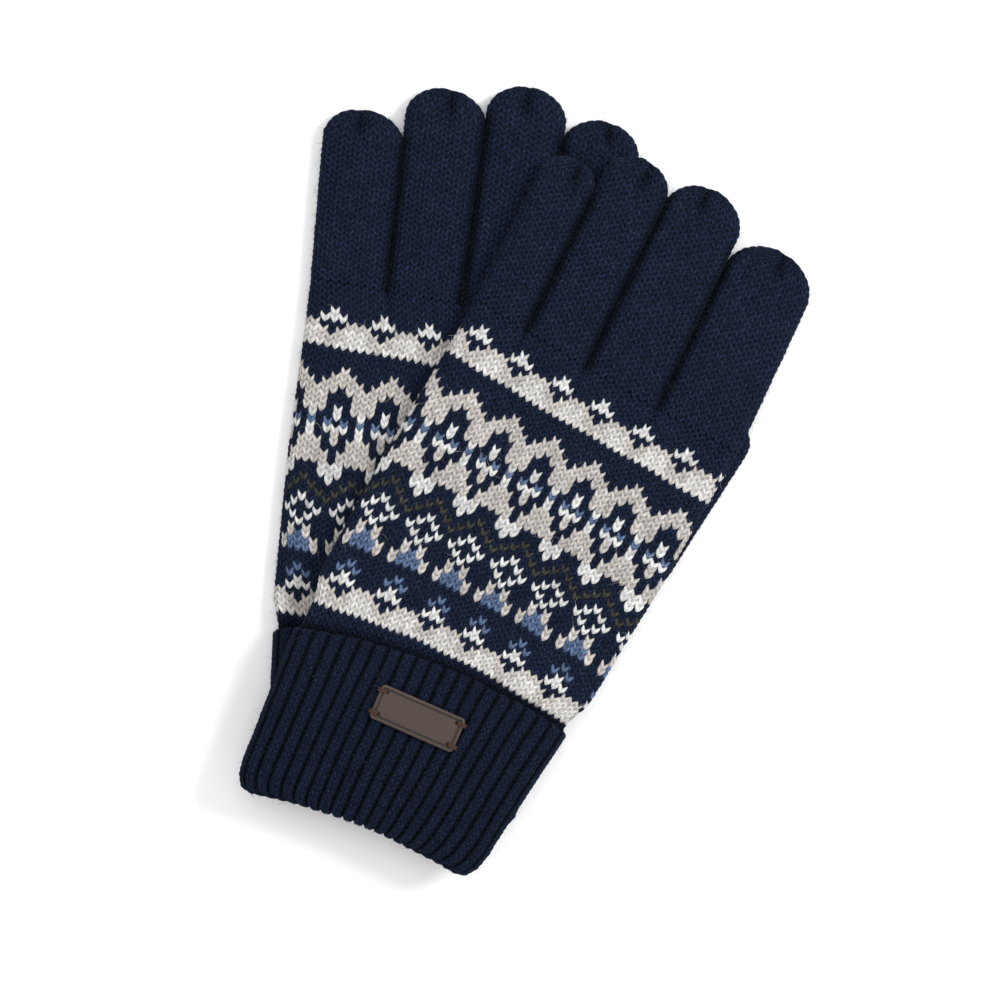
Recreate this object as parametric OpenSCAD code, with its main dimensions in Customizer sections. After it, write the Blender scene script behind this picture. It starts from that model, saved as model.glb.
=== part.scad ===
// A pair of knitted gloves lying flat, one fanned out under the other.
// The left glove lies on top with the back of its hand up and its thumb tucked under.
// The right glove lies below it, palm up, turned about the middle of the cuffs.
// Lengths are in millimetres and +Z is up. Each glove is laid out with +Y towards its fingers.

/* [Fabric] */
// Thickness of one layer of knitting
knit_t = 1.8; // [1.6:0.1:2]
// Height of the hollow inside a glove that lies flat
room = 4.6; // [4.5:0.1:5.4]
// Free space between pieces that move past each other
gap = 0.4; // [0.3:0.1:0.6]

/* [Hand] */
// Width across the wrist, just above the cuff
wrist_w = 109; // [102:1:112]
// Distance from the cuff fold to the finger roots of the left glove
left_knuckle_y = 185; // [175:1:195]
// Distance from the cuff fold to the finger roots of the right glove
right_knuckle_y = 191; // [180:1:200]
// Turn of the right glove about the middle of the cuffs, in degrees
fan = 17; // [15:1:19]

/* [Fingers] */
// Widths of the left little, ring, middle and index fingers
left_finger_w = [21, 24.6, 29.2, 33]; // [20:0.2:34]
// Widths of the right little, ring, middle and index fingers
right_finger_w = [27.4, 27, 27.4, 27]; // [24:0.2:30]
// Lengths of the left little, ring, middle and index fingers
left_finger_l = [65, 76.5, 78.5, 70]; // [60:0.5:85]
// Lengths of the right little, ring, middle and index fingers
right_finger_l = [66, 79, 85, 77.5]; // [60:0.5:90]

/* [Thumbs] */
// Width of each thumb
thumb_w = 21; // [18:0.5:22]
// Length of the left thumb from the middle of its root to its tip
left_thumb_l = 61; // [54:1:66]
// Length of the right thumb from the bottom of its root to its tip
right_thumb_l = 78; // [70:1:84]

/* [Cuff] */
// Height of the turned-up cuff
cuff_h = 62; // [54:1:66]
// Width of the turned-up cuff at its fold
cuff_fold_w = 97.5; // [92:0.5:100]
// Width of the turned-up cuff at its free edge
cuff_edge_w = 106.4; // [102:0.2:108]
// Height of the right glove's fold above the left glove's
right_fold_y = 9; // [6:1:14]

/* [Label] */
// Length of the leather label
label_l = 32.8; // [26:0.2:36]
// Width of the leather label
label_w = 13.2; // [10:0.2:14]
// Thickness of the leather label
label_t = 1.6; // [1.2:0.1:2]
// Radius of the four stitching holes
label_hole_r = 0.7; // [0.6:0.05:0.8]

/* [Hidden] */

navy = [0.10, 0.13, 0.21];
leather_brown = [0.41, 0.34, 0.32];
thread_rust = [0.36, 0.17, 0.11];

// Middle of the whole pair's outline, moved to the origin
pair_middle = [-35.79, 130.62];

// Thickness of a flat hand or finger, and of a cuff with its turned-up layer
hand_t = room + 2 * knit_t;
cuff_t = hand_t + 2 * (knit_t + gap);
// Seam between two pieces of one glove that are knitted together
seam = 0.05;
// Height at which the left cuff and the left hand lie over the right glove
left_cuff_z = cuff_t + gap;
left_hand_z = hand_t + 2 * gap;
// The hand leaves the cuff here
hand_y = cuff_h + 4;
// The left glove is fuller along this line, and its rows curve back towards the fold beside it
bow_x = 18;
bow_reach = 36;
left_bow = 0.0022;
// Sideways shift of the cuffs and of the knuckles from the glove's own middle line
left_cuff_x = -5;
left_knuckle_x = 1;
right_cuff_x = 5;
right_knuckle_x = -1.5;
// Sideways lean of each finger per unit of length
right_lean = [-0.072, -0.056, -0.04, -0.034];
left_lean = [-0.012, -0.022, -0.029, -0.034];
// Share by which each right finger is wider at its tip than at its root
right_widen = [0.05, 0.05, 0.02, 0];
// Fall of the left middle and index fingers towards the table, and where it starts
left_fall = [0, 0, 4.5, 7.8];
left_fall_from = [0, 0, 38, 12];
// The left thumb turns about this point, and leans outwards by this many degrees
left_thumb_pivot = [44.5, 133];
left_thumb_lean = -5.5;
thumb_hole_r = 7;
// The right thumb leaves the hand here and reaches its full width this much higher
right_thumb_y = 113;
right_thumb_flare = 26;
thumb_slot = [14, 18, 4.4];
// The label's middle on the left cuff, its turn in degrees, and its corner radius
label_at = [-3.1, 44.2];
label_turn = 3.7;
label_r = 1.6;
// Distance of the stitching holes from the label's edges, and the thread's radius
hole_in = [2.6, 2.4];
thread_r = 0.5;

arc_n = 6;
flat_n = 6;
ring_n = 2 * (arc_n + flat_n);

function sum_to(list, count) = count == 0 ? 0 : list[count - 1] + sum_to(list, count - 1);
function knuckle_w(widths) = sum_to(widths, 4) + 6 * gap;

// Flat oval with straight top and bottom and round sides, as [x, z] points
function oval(half_w, half_t) = let (flat = half_w - half_t) concat(
    [for (i = [0 : arc_n]) let (a = -90 + 180 * i / arc_n) [flat + half_t * cos(a), half_t * sin(a)]],
    [for (i = [1 : flat_n - 1]) [flat * (1 - 2 * i / flat_n), half_t]],
    [for (i = [0 : arc_n]) let (a = 90 + 180 * i / arc_n) [-flat + half_t * cos(a), half_t * sin(a)]],
    [for (i = [1 : flat_n - 1]) [-flat * (1 - 2 * i / flat_n), -half_t]]
);

// How far a point is pulled towards the fold; the bow fades out at the knuckles
function bowed(x, y, bow) =
    y - bow * ((x - bow_x) ^ 2 - bow_reach ^ 2) * lookup(y, [[hand_y, 1], [left_knuckle_y, 0]]);

function ring(s, bow) = [
    for (p = oval(s[2], s[4])) let (x = s[1] + p[0]) [x, bowed(x, s[0], bow), s[3] + p[1]]
];

// Closed solid through flat ovals; each station is [y, middle x, half width, middle z, half thickness]
module loft(stations, bow = 0) {
    last = len(stations) - 1;
    middles = [for (i = [0, last]) let (s = stations[i]) [s[1], bowed(s[1], s[0], bow), s[3]]];
    points = concat([for (s = stations) each ring(s, bow)], middles);
    start = ring_n * (last + 1);
    sides = [for (i = [0 : last - 1], j = [0 : ring_n - 1])
        let (k = (j + 1) % ring_n, a = i * ring_n, b = a + ring_n)
        each [[a + j, a + k, b + k], [a + j, b + k, b + j]]];
    caps = [for (j = [0 : ring_n - 1])
        let (k = (j + 1) % ring_n, b = last * ring_n)
        each [[start, k, j], [start + 1, b + j, b + k]]];
    polyhedron(points, concat(sides, caps));
}

// Puts a piece of the right glove, or of the whole pair, where it lies
module on_right() translate([-pair_middle[0], -pair_middle[1], 0]) rotate(fan) children();
module on_left() translate([-pair_middle[0], -pair_middle[1], 0]) children();

// Height of each glove's middle layer along its length
function right_z(y) = lookup(y, [[hand_y, cuff_t / 2], [hand_y + 12, hand_t / 2]]);
function left_z(y) = lookup(y, [
    [hand_y, left_cuff_z + cuff_t / 2],
    [hand_y + 14, left_cuff_z + hand_t / 2],
    [hand_y + 34, left_hand_z + hand_t / 2]
]);

// Half width of the turned-up cuff, whose corners are round at the fold
function cuff_half(y, fold_y) = lookup(y, [
    [fold_y - knit_t, cuff_fold_w / 2 - 7.5],
    [fold_y, cuff_fold_w / 2 - 4.6],
    [fold_y + 4, cuff_fold_w / 2 - 2.2],
    [fold_y + 10, cuff_fold_w / 2 - 0.8],
    [fold_y + 20, cuff_fold_w / 2],
    [cuff_h, cuff_edge_w / 2]
]);
inner_cuff_in = knit_t + gap;

// Half width and middle line of the hand between the cuff and the knuckles
function hand_half(y, knuckle_y, widths) = lookup(y, [
    [hand_y, cuff_edge_w / 2 - inner_cuff_in],
    [hand_y + 10, wrist_w / 2],
    [(hand_y + knuckle_y) / 2, (wrist_w + knuckle_w(widths)) / 4 + 1],
    [knuckle_y, knuckle_w(widths) / 2]
]);
function hand_x(y, knuckle_y, cuff_x, knuckle_x) = lookup(y, [[hand_y, cuff_x], [knuckle_y, knuckle_x]]);

module hand_tube(side, skin, from, to) {
    left = side == "left";
    knuckle_y = left ? left_knuckle_y : right_knuckle_y;
    widths = left ? left_finger_w : right_finger_w;
    cuff_x = left ? left_cuff_x : right_cuff_x;
    knuckle_x = left ? left_knuckle_x : right_knuckle_x;
    steps = 12;
    ys = [for (i = [0 : steps]) hand_y + (knuckle_y - hand_y) * i / steps];
    span = concat([from], [for (y = ys) if (y > from + 1 && y < to - 1) y], [to]);
    loft([for (y = span) [
        y,
        hand_x(y, knuckle_y, cuff_x, knuckle_x),
        hand_half(y, knuckle_y, widths) - skin,
        left ? left_z(y) : right_z(y),
        hand_t / 2 - skin
    ]], left ? left_bow : 0);
}

module hand(side) {
    knuckle_y = side == "left" ? left_knuckle_y : right_knuckle_y;
    color(navy) difference() {
        hand_tube(side, 0, hand_y + seam, knuckle_y);
        hand_tube(side, knit_t, hand_y - 2, knuckle_y + 1);
        if (side == "left") left_thumb_hole();
        else right_thumb_slot();
    }
}

// Solid of a cuff, or its hollow, between two distances from its fold
module cuff_tube(side, skin, half_t, from, to) {
    left = side == "left";
    fold_y = left ? 0 : right_fold_y;
    marks = [0, 4, 10, 20, 36, cuff_h - fold_y];
    span = concat([from], [for (s = marks) if (s > from + 0.5 && s < to - 0.5) s], [to]);
    loft([for (s = span) [
        fold_y + s,
        left ? left_cuff_x : right_cuff_x,
        cuff_half(fold_y + s, fold_y) - skin,
        left ? left_cuff_z + cuff_t / 2 : cuff_t / 2,
        half_t
    ]], left ? left_bow : 0);
}

function cuff_l(side) = cuff_h - (side == "left" ? 0 : right_fold_y);

module inner_cuff(side) {
    hollow = inner_cuff_in + knit_t;
    color(navy) difference() {
        cuff_tube(side, inner_cuff_in, hand_t / 2, gap, cuff_l(side) + hand_y - cuff_h);
        cuff_tube(side, hollow, room / 2, -1, cuff_l(side) + hand_y - cuff_h + 1);
    }
}

// The outer layer, closed round the fold as far as the glove's mouth
module turned_cuff(side) {
    mouth = inner_cuff_in + knit_t;
    color(navy) difference() {
        cuff_tube(side, 0, cuff_t / 2, -knit_t, cuff_l(side));
        cuff_tube(side, knit_t, cuff_t / 2 - knit_t, 0, cuff_l(side) + 1);
        cuff_tube(side, mouth, room / 2, -2 * knit_t, 2);
    }
}

// Stations of a finger: straight, then rounded off over the tip
function finger_stations(x, y, w, l, lean, widen, z, half_t, fall, fall_from, skin) =
    let (
        half_w = w / 2 - skin,
        tip = l - 1.6 * skin,
        round_l = 0.42 * w,
        straight = [for (i = [0 : 5]) [(tip - round_l) * i / 5, 1]],
        tip_end = [for (a = [15 : 15 : 75]) [tip - round_l * (1 - sin(a) / sin(75)), cos(a)]]
    )
    [for (s = concat([[skin > 0 ? -1 : 0, 1]], [for (k = [1 : 5]) straight[k]], tip_end)) [
        y + s[0],
        x + lean * s[0],
        half_w * s[1] * (1 + widen * s[0] / l),
        z - fall * max(0, (s[0] - fall_from) / (l - fall_from)),
        half_t * (0.45 + 0.55 * s[1])
    ]];

module finger(side, i) {
    left = side == "left";
    widths = left ? left_finger_w : right_finger_w;
    w = widths[i];
    l = left ? left_finger_l[i] : right_finger_l[i];
    y = (left ? left_knuckle_y : right_knuckle_y) + gap;
    x = (left ? left_knuckle_x : right_knuckle_x) - knuckle_w(widths) / 2
        + sum_to(widths, i) + 2 * gap * i + w / 2;
    z = left ? left_hand_z + hand_t / 2 : hand_t / 2;
    lean = left ? left_lean[i] : right_lean[i];
    widen = left ? 0 : right_widen[i];
    fall = left ? left_fall[i] : 0;
    fall_from = left ? left_fall_from[i] : 0;
    color(navy) difference() {
        loft(finger_stations(x, y, w, l, lean, widen, z, hand_t / 2, fall, fall_from, 0));
        loft(finger_stations(x, y, w, l, lean, widen, z, room / 2, fall, fall_from, knit_t));
    }
}

module left_thumb_tube(skin) {
    root = [for (a = [75 : -15 : 0]) [-thumb_w / 2 * sin(a) / sin(75), cos(a)]];
    tip_l = 0.45 * thumb_w;
    tip = [for (a = [0 : 15 : 75]) [left_thumb_l - tip_l * (1 - sin(a) / sin(75)), cos(a)]];
    translate([left_thumb_pivot[0], left_thumb_pivot[1], 0])
        rotate(left_thumb_lean)
            loft([for (s = concat(root, tip)) [
                s[0] * (1 - 1.6 * skin / (s[0] > 0 ? left_thumb_l : thumb_w / 2)),
                0,
                (thumb_w / 2 - skin) * s[1],
                gap + hand_t / 2,
                (hand_t / 2 - skin) * (0.5 + 0.5 * s[1])
            ]]);
}

// The left thumb opens upwards into the hand, round the axis that it turns about
module left_thumb_hole() {
    translate([left_thumb_pivot[0], left_thumb_pivot[1], gap + hand_t / 2])
        cylinder(h = hand_t + gap, r = thumb_hole_r, $fn = 48);
}

module left_thumb() {
    color(navy) difference() {
        left_thumb_tube(0);
        left_thumb_tube(knit_t);
        left_thumb_hole();
    }
}

function right_edge(y) = hand_x(y, right_knuckle_y, right_cuff_x, right_knuckle_x)
    + hand_half(y, right_knuckle_y, right_finger_w);
right_thumb_x = right_edge(right_thumb_y) + gap;

// The right thumb lies along the hand's edge and widens from the bottom of its root
module right_thumb_tube(skin) {
    tip_l = 0.45 * thumb_w;
    least = 0.42;
    flare = [for (t = [0 : 0.2 : 1]) [right_thumb_flare * t, least + (1 - least) * t, 1]];
    tip = [for (a = [0 : 15 : 75])
        [right_thumb_l - tip_l * (1 - sin(a) / sin(75)), cos(a), cos(a)]];
    loft([for (s = concat(flare, tip)) let (w = thumb_w * (s[0] > right_thumb_flare ? 1 : s[1])) [
        right_thumb_y + skin + s[0] * (1 - 2.6 * skin / right_thumb_l),
        right_thumb_x + w / 2,
        (s[0] > right_thumb_flare ? w / 2 * s[1] : w / 2) - skin * s[2],
        hand_t / 2,
        (hand_t / 2 - skin) * (0.5 + 0.5 * s[2])
    ]]);
}

// The right thumb opens sideways into the hand
module right_thumb_slot() {
    translate([right_thumb_x, right_thumb_y + right_thumb_flare * 0.73, hand_t / 2])
        cube(thumb_slot, center = true);
}

module right_thumb() {
    color(navy) difference() {
        right_thumb_tube(0);
        right_thumb_tube(knit_t);
        right_thumb_slot();
    }
}

// Places something at each of the label's four stitching holes; dir is -1 left and 1 right
module at_holes() {
    for (dir = [-1, 1], up = [-1, 1])
        translate([dir * (label_l / 2 - hole_in[0]), up * (label_w / 2 - hole_in[1]), 0])
            scale([dir, 1, 1])
                children();
}

module at_label() {
    translate([label_at[0], label_at[1], left_cuff_z + cuff_t + seam])
        rotate(label_turn)
            children();
}

module rounded_plate() {
    square([label_l - 2 * label_r, label_w], center = true);
    square([label_l, label_w - 2 * label_r], center = true);
    for (x = [-1, 1], y = [-1, 1])
        translate([x * (label_l / 2 - label_r), y * (label_w / 2 - label_r)])
            circle(r = label_r, $fn = 48);
}

module leather_label() {
    color(leather_brown) at_label() difference() {
        linear_extrude(height = label_t) rounded_plate();
        for (x = [-1, 1], y = [-1, 1])
            translate([x * (label_l / 2 - hole_in[0]), y * (label_w / 2 - hole_in[1]), -1])
                cylinder(h = label_t + 2, r = label_hole_r, $fn = 32);
    }
}

// One tack: down through the hole, over the label's end, and down to the cuff
module tack() {
    reach = hole_in[0] + 2 * thread_r;
    over = label_t + thread_r + seam;
    for (x = [0, reach])
        translate([x, 0, 0])
            cylinder(h = over, r = thread_r, $fn = 24);
    translate([0, 0, over])
        rotate([0, 90, 0])
            cylinder(h = reach, r = thread_r, $fn = 24);
    for (x = [0, reach])
        translate([x, 0, over])
            sphere(r = thread_r, $fn = 24);
}

module label_tacks() {
    color(thread_rust) at_label() at_holes() tack();
}

on_right() hand("right");  // right_hand
on_right() inner_cuff("right");  // right_inner_cuff
on_right() turned_cuff("right");  // right_turned_cuff
on_right() finger("right", 0);  // right_little_finger
on_right() finger("right", 1);  // right_ring_finger
on_right() finger("right", 2);  // right_middle_finger
on_right() finger("right", 3);  // right_index_finger
on_right() right_thumb();
on_left() hand("left");  // left_hand
on_left() inner_cuff("left");  // left_inner_cuff
on_left() turned_cuff("left");  // left_turned_cuff
on_left() finger("left", 0);  // left_little_finger
on_left() finger("left", 1);  // left_ring_finger
on_left() finger("left", 2);  // left_middle_finger
on_left() finger("left", 3);  // left_index_finger
on_left() left_thumb();
on_left() leather_label();
on_left() label_tacks();
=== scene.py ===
import math

import bpy
import numpy as np
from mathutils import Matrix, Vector


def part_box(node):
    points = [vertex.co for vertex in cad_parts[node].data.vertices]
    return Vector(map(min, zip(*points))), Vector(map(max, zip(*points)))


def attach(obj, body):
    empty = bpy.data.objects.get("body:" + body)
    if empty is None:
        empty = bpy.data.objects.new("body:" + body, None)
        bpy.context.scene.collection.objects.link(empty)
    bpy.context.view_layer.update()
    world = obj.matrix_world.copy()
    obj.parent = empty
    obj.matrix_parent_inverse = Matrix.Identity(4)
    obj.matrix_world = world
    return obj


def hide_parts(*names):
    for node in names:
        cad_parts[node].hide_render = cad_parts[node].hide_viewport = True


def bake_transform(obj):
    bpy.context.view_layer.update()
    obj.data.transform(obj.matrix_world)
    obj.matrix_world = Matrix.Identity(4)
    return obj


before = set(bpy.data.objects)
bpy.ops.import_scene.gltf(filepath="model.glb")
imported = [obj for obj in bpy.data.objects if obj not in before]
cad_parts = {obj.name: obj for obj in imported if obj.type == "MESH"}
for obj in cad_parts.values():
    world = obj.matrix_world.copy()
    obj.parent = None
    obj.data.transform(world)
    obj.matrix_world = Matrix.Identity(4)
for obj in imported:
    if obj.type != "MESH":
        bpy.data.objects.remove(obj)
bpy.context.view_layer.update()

# ---------------------------------------------------------------------------
# Driving dimensions, in millimetres and degrees, as in the CAD model.
# Each glove is laid out in its own frame: x across, y from the cuff's fold to the fingers.
# ---------------------------------------------------------------------------
MM = 0.001
SEED = 20

KNIT_T = 1.8
ROOM = 4.6
GAP = 0.4
HAND_T = ROOM + 2 * KNIT_T
CUFF_T = HAND_T + 2 * (KNIT_T + GAP)
CUFF_H = 62
WRIST_W = 109
CUFF_FOLD_W = 97.5
CUFF_EDGE_W = 106.4
BOW_X = 18
BOW_REACH = 36
FAN = math.radians(17)
LABEL_AT = (-3.1, 44.2)
LABEL_TURN = math.radians(3.7)
LABEL = (32.8, 13.2, 1.6)

# Size of one stitch, and how deep its relief is
WALE = 2.57
ROW = 2.29
RELIEF = 0.8
V_RISE = 0.85
# Brightness painted into the yarn in the pits between stitches, as painted shade
PIT_SHADE = 0.16
# How quickly the painted shade gets darker down a furrow between ribs, per millimetre
FURROW_SHADE = 1.25
# Columns of the mesh across a stitch's leg, and its bands along a row
COLS_PER_LEG = 3
BANDS_PER_ROW = 4
# The knit's highest threads reach the CAD surface, so its middle lies a little lower
SINK = 0.3
# A finger's skin is a little wider than its CAD tube each side, so that neighbours touch
FINGER_PROUD = 0.36
# How much lower than their middles the hand's, fingers' and cuffs' sides are
HAND_CROWN = 0.12
FINGER_CROWN = 0.3
CUFF_CROWN = 0.06
# A tip's last row stops just short of closing
TIP_TURN = math.radians(88.5)
# A dimple's distance from the tip of its finger
DIMPLE_IN = 7
# Thumbs: width, lengths, where the left one turns and how it leans, and where the right one starts and widens
THUMB_W = 21
LEFT_THUMB = {"pivot": (44.5, 133), "lean": math.radians(5.5), "length": 61}
RIGHT_THUMB = {"root_y": 113, "length": 78, "flare": 26}
# Ribs round a cuff, and how deep the furrows between them are
RIBS = 42
RIB_DEEP = {"turned": 1.45, "inner": 0.6}
# Loose fibres: how many on each kind of piece, their mean length, and their radius at the root
HAND_FUZZ = (4200, 1.7)
FINGER_FUZZ = (1100, 1.6)
CUFF_FUZZ = (3200, 1.6)
THUMB_FUZZ = (500, 1.1)
FIBRE_R = 0.04
HAND_WALES = 39
HAND_BOTTOM = 56

LEFT = {
    "knuckle_y": 185, "fold_y": 0, "cuff_x": -5, "knuckle_x": 1, "turn": 0,
    "cuff_z": CUFF_T + GAP + CUFF_T / 2, "hand_z": HAND_T + 2 * GAP + HAND_T / 2,
    "widths": (21, 24.6, 29.2, 33), "lengths": (65, 76.5, 78.5, 70),
    "lean": (-0.012, -0.022, -0.029, -0.034), "widen": (0, 0, 0, 0),
    "fall": (0, 0, 4.5, 7.8), "fall_from": (0, 0, 38, 12),
    "wales": (8, 9, 10, 12), "bow": 0.0022, "plain_below": 6, "plain_above": 3,
    "sag": 0.7, "swell": 0.0, "rim_rise": 1.0,
    "drift_y": (66, 85, 100, 180), "drift": (0.2, 0, -0.8, -1.0),
}
RIGHT = {
    "knuckle_y": 191, "fold_y": 9, "cuff_x": 5, "knuckle_x": -1.5, "turn": FAN,
    "cuff_z": CUFF_T / 2, "hand_z": HAND_T / 2,
    "widths": (27.4, 27, 27.4, 27), "lengths": (66, 79, 85, 77.5),
    "lean": (-0.072, -0.056, -0.04, -0.034), "widen": (0.05, 0.05, 0.02, 0),
    "fall": (0, 0, 0, 0), "fall_from": (0, 0, 0, 0),
    "wales": (10, 10, 9, 10), "bow": 0.0, "plain_below": 7, "plain_above": 4,
    "sag": 0.2, "swell": 0.55, "rim_rise": 5.0,
    "drift_y": (75, 100, 140, 160, 180), "drift": (0.8, -2.2, -2.0, -1.2, 2.0),
}
FINGERS = ("little", "ring", "middle", "index")

# The colourwork from the fingers down to the cuff, one repeat of six wales.
# The first wale is the crown's. . navy, w white, c cream, g grey, b blue, o olive
CHART = """
w..... ww...w ..ggg. .gcccg ggcccg gccccc ...... ...... ......
...g.. ..ggg. .ggggg ggg.gg gg...g gg...g gg.w.g w..w..
b.b.b. w.www. w..g.. gg.g.g gg...g ggg.gg ggg.gg
..www. ..www. o..w.. .o...o ..o.o. w..o.. .w...w ..w.w.
.w...w w..... .g...g bg...g bbg.gb bbg.gb ...... ......
b..... .b...b w..... ww...w ..ggg. .gcccg ggcccg gccccc
""".split()
CROWN_WALE = 3
YARNS = {
    ".": (0.0062, 0.0102, 0.0245),
    "w": (0.530, 0.530, 0.522),
    "c": (0.510, 0.497, 0.480),
    "g": (0.415, 0.388, 0.366),
    "b": (0.072, 0.108, 0.190),
    "o": (0.032, 0.031, 0.026),
}

# The pair's place in the row frame comes from the label, whose own place is LABEL_AT
label_low, label_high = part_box("leather_label")
PAIR = np.array((label_low + label_high)[:2]) / 2 / MM - np.array(LABEL_AT)


def smooth(t):
    t = np.clip(t, 0, 1)
    return t * t * (3 - 2 * t)


def in_row(glove, points):
    """Points of a glove's own frame, in millimetres, as metres in the row frame."""
    c, s = math.cos(glove["turn"]), math.sin(glove["turn"])
    out = np.empty_like(points)
    out[..., 0] = (points[..., 0] * c - points[..., 1] * s + PAIR[0]) * MM
    out[..., 1] = (points[..., 0] * s + points[..., 1] * c + PAIR[1]) * MM
    out[..., 2] = points[..., 2] * MM
    return out


def ripple(x, y, seed):
    """Slow unevenness of laid cloth, between about -1 and 1."""
    r = np.random.default_rng(seed)
    total = 0
    for _ in range(6):
        turn, phase = r.uniform(0, 2 * math.pi, 2)
        length = r.uniform(18, 46)
        total = total + np.sin((x * math.cos(turn) + y * math.sin(turn)) * 2 * math.pi / length + phase)
    return total / 3.2


def wander(x, y, edge):
    """Small sideways wandering of laid stitches, in millimetres; edge is 0 at a glove's sides."""
    across = 0.5 * ripple(x, y, SEED + 1) * edge
    along = 0.35 * ripple(x, y, SEED + 2)
    return across, along


def rumple(glove, x, y, z):
    """Unevenness of a glove's upper side; it fades to nothing round the edge."""
    most = 0.4 if glove is LEFT else 0.2
    return most * ripple(x, y, SEED) * np.clip(z / (HAND_T / 2), 0, 1)


# ---------------------------------------------------------------------------
# Cross-sections
# ---------------------------------------------------------------------------
def stadium(s, half_w, half_t):
    """Upper half of a flat oval at share s of its length, from its left end to its right one."""
    half_t = np.minimum(half_t, half_w * 0.98)
    flat = half_w - half_t
    arc = half_t * math.pi / 2
    d = s * 2 * (arc + flat)
    a_left = np.clip(d / half_t, 0, math.pi / 2)
    a_right = np.clip((2 * (arc + flat) - d) / half_t, 0, math.pi / 2)
    level = np.clip(d - arc, 0, 2 * flat) - flat
    x = level + half_t * (np.cos(a_right) - np.cos(a_left))
    z = half_t * np.sin(np.minimum(a_left, a_right))
    return x, z


def crowned(x, z, half_w, crown):
    """Lowers a flat oval towards its sides."""
    return z * (1 - crown * np.clip(np.abs(x) / half_w, 0, 1) ** 2.2)


def front_share(u):
    """Share along the front (0 left, 1 right) and the side (1 front, -1 back) of a place u around."""
    u = u % 1.0
    return np.where(u < 0.5, 2 * u, 2 - 2 * u), np.where(u < 0.5, 1.0, -1.0)


def knuckle_w(glove):
    return sum(glove["widths"]) + 6 * GAP


def hand_half(glove, y):
    knuckle = glove["knuckle_y"]
    marks = [66, 76, (66 + knuckle) / 2, knuckle]
    tucked = CUFF_EDGE_W / 2 - KNIT_T - GAP
    at = [tucked, WRIST_W / 2, (WRIST_W + knuckle_w(glove)) / 4 + 1, knuckle_w(glove) / 2]
    return np.interp(y, marks, at)


def hand_middle(glove, y):
    return np.interp(y, [66, glove["knuckle_y"]], [glove["cuff_x"], glove["knuckle_x"]])


def layer_z(glove, y):
    """Height of a glove's middle layer, which steps down from the cuff to the hand."""
    if glove is LEFT:
        marks, at = [66, 80, 100], [LEFT["cuff_z"], LEFT["cuff_z"] - 2.2, LEFT["hand_z"]]
    else:
        marks, at = [66, 78], [RIGHT["cuff_z"], RIGHT["hand_z"]]
    return sum(np.interp(y + d, marks, at) for d in (-5, -2.5, 0, 2.5, 5)) / 5


def finger_middle(glove, i):
    before = sum(glove["widths"][:i]) + 2 * GAP * i
    return glove["knuckle_x"] - knuckle_w(glove) / 2 + before + glove["widths"][i] / 2


def finger_section(glove, i, s, inset):
    """Section of a finger at its root: x, z from its own middle."""
    half_w = glove["widths"][i] / 2 + FINGER_PROUD - inset
    x, z = stadium(s, half_w, HAND_T / 2 - inset)
    return x, crowned(x, z, half_w, FINGER_CROWN)


def cuff_half(glove, y):
    """Half width of the turned-up cuff, whose corners are round at the fold."""
    up = np.asarray(y) - glove["fold_y"]
    narrower = np.interp(up, [-KNIT_T, 0, 4, 10, 20], [7.5, 4.6, 2.2, 0.8, 0])
    widening = (CUFF_EDGE_W - CUFF_FOLD_W) / 2 * np.clip((up - 20) / (CUFF_H - glove["fold_y"] - 20), 0, 1)
    return CUFF_FOLD_W / 2 - narrower + widening


# ---------------------------------------------------------------------------
# Rows of the hand
# ---------------------------------------------------------------------------
def pattern_top(glove, x):
    if glove is LEFT:
        return 177.3 - 0.06 * x + 0.0004 * x ** 2
    return 184.2 + 0 * x


def pattern_bottom(glove, x):
    if glove is LEFT:
        return 69.3 - 0.00154 * (x - 2) ** 2
    return 71.6 + 0 * x


def bow(glove, x):
    return glove["bow"] * ((x - BOW_X) ** 2 - BOW_REACH ** 2)


def hand_rows(glove):
    return glove["plain_below"] + len(CHART) + glove["plain_above"]


def row_y(glove, v, x):
    """How far up the hand row v lies. The rows bow and tilt as the glove was laid."""
    low, high = glove["plain_below"], glove["plain_below"] + len(CHART)
    bottom = HAND_BOTTOM - bow(glove, x)
    start, end = pattern_bottom(glove, x), pattern_top(glove, x)
    below = bottom + (start - bottom) * v / low
    t = (v - low) / (high - low)
    inside = start + (end - start) * t - glove["sag"] * np.sin(math.pi * np.clip(t, 0, 1))
    above = end + (v - high) * ROW
    return np.where(v < low, below, np.where(v < high, inside, above))


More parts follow.
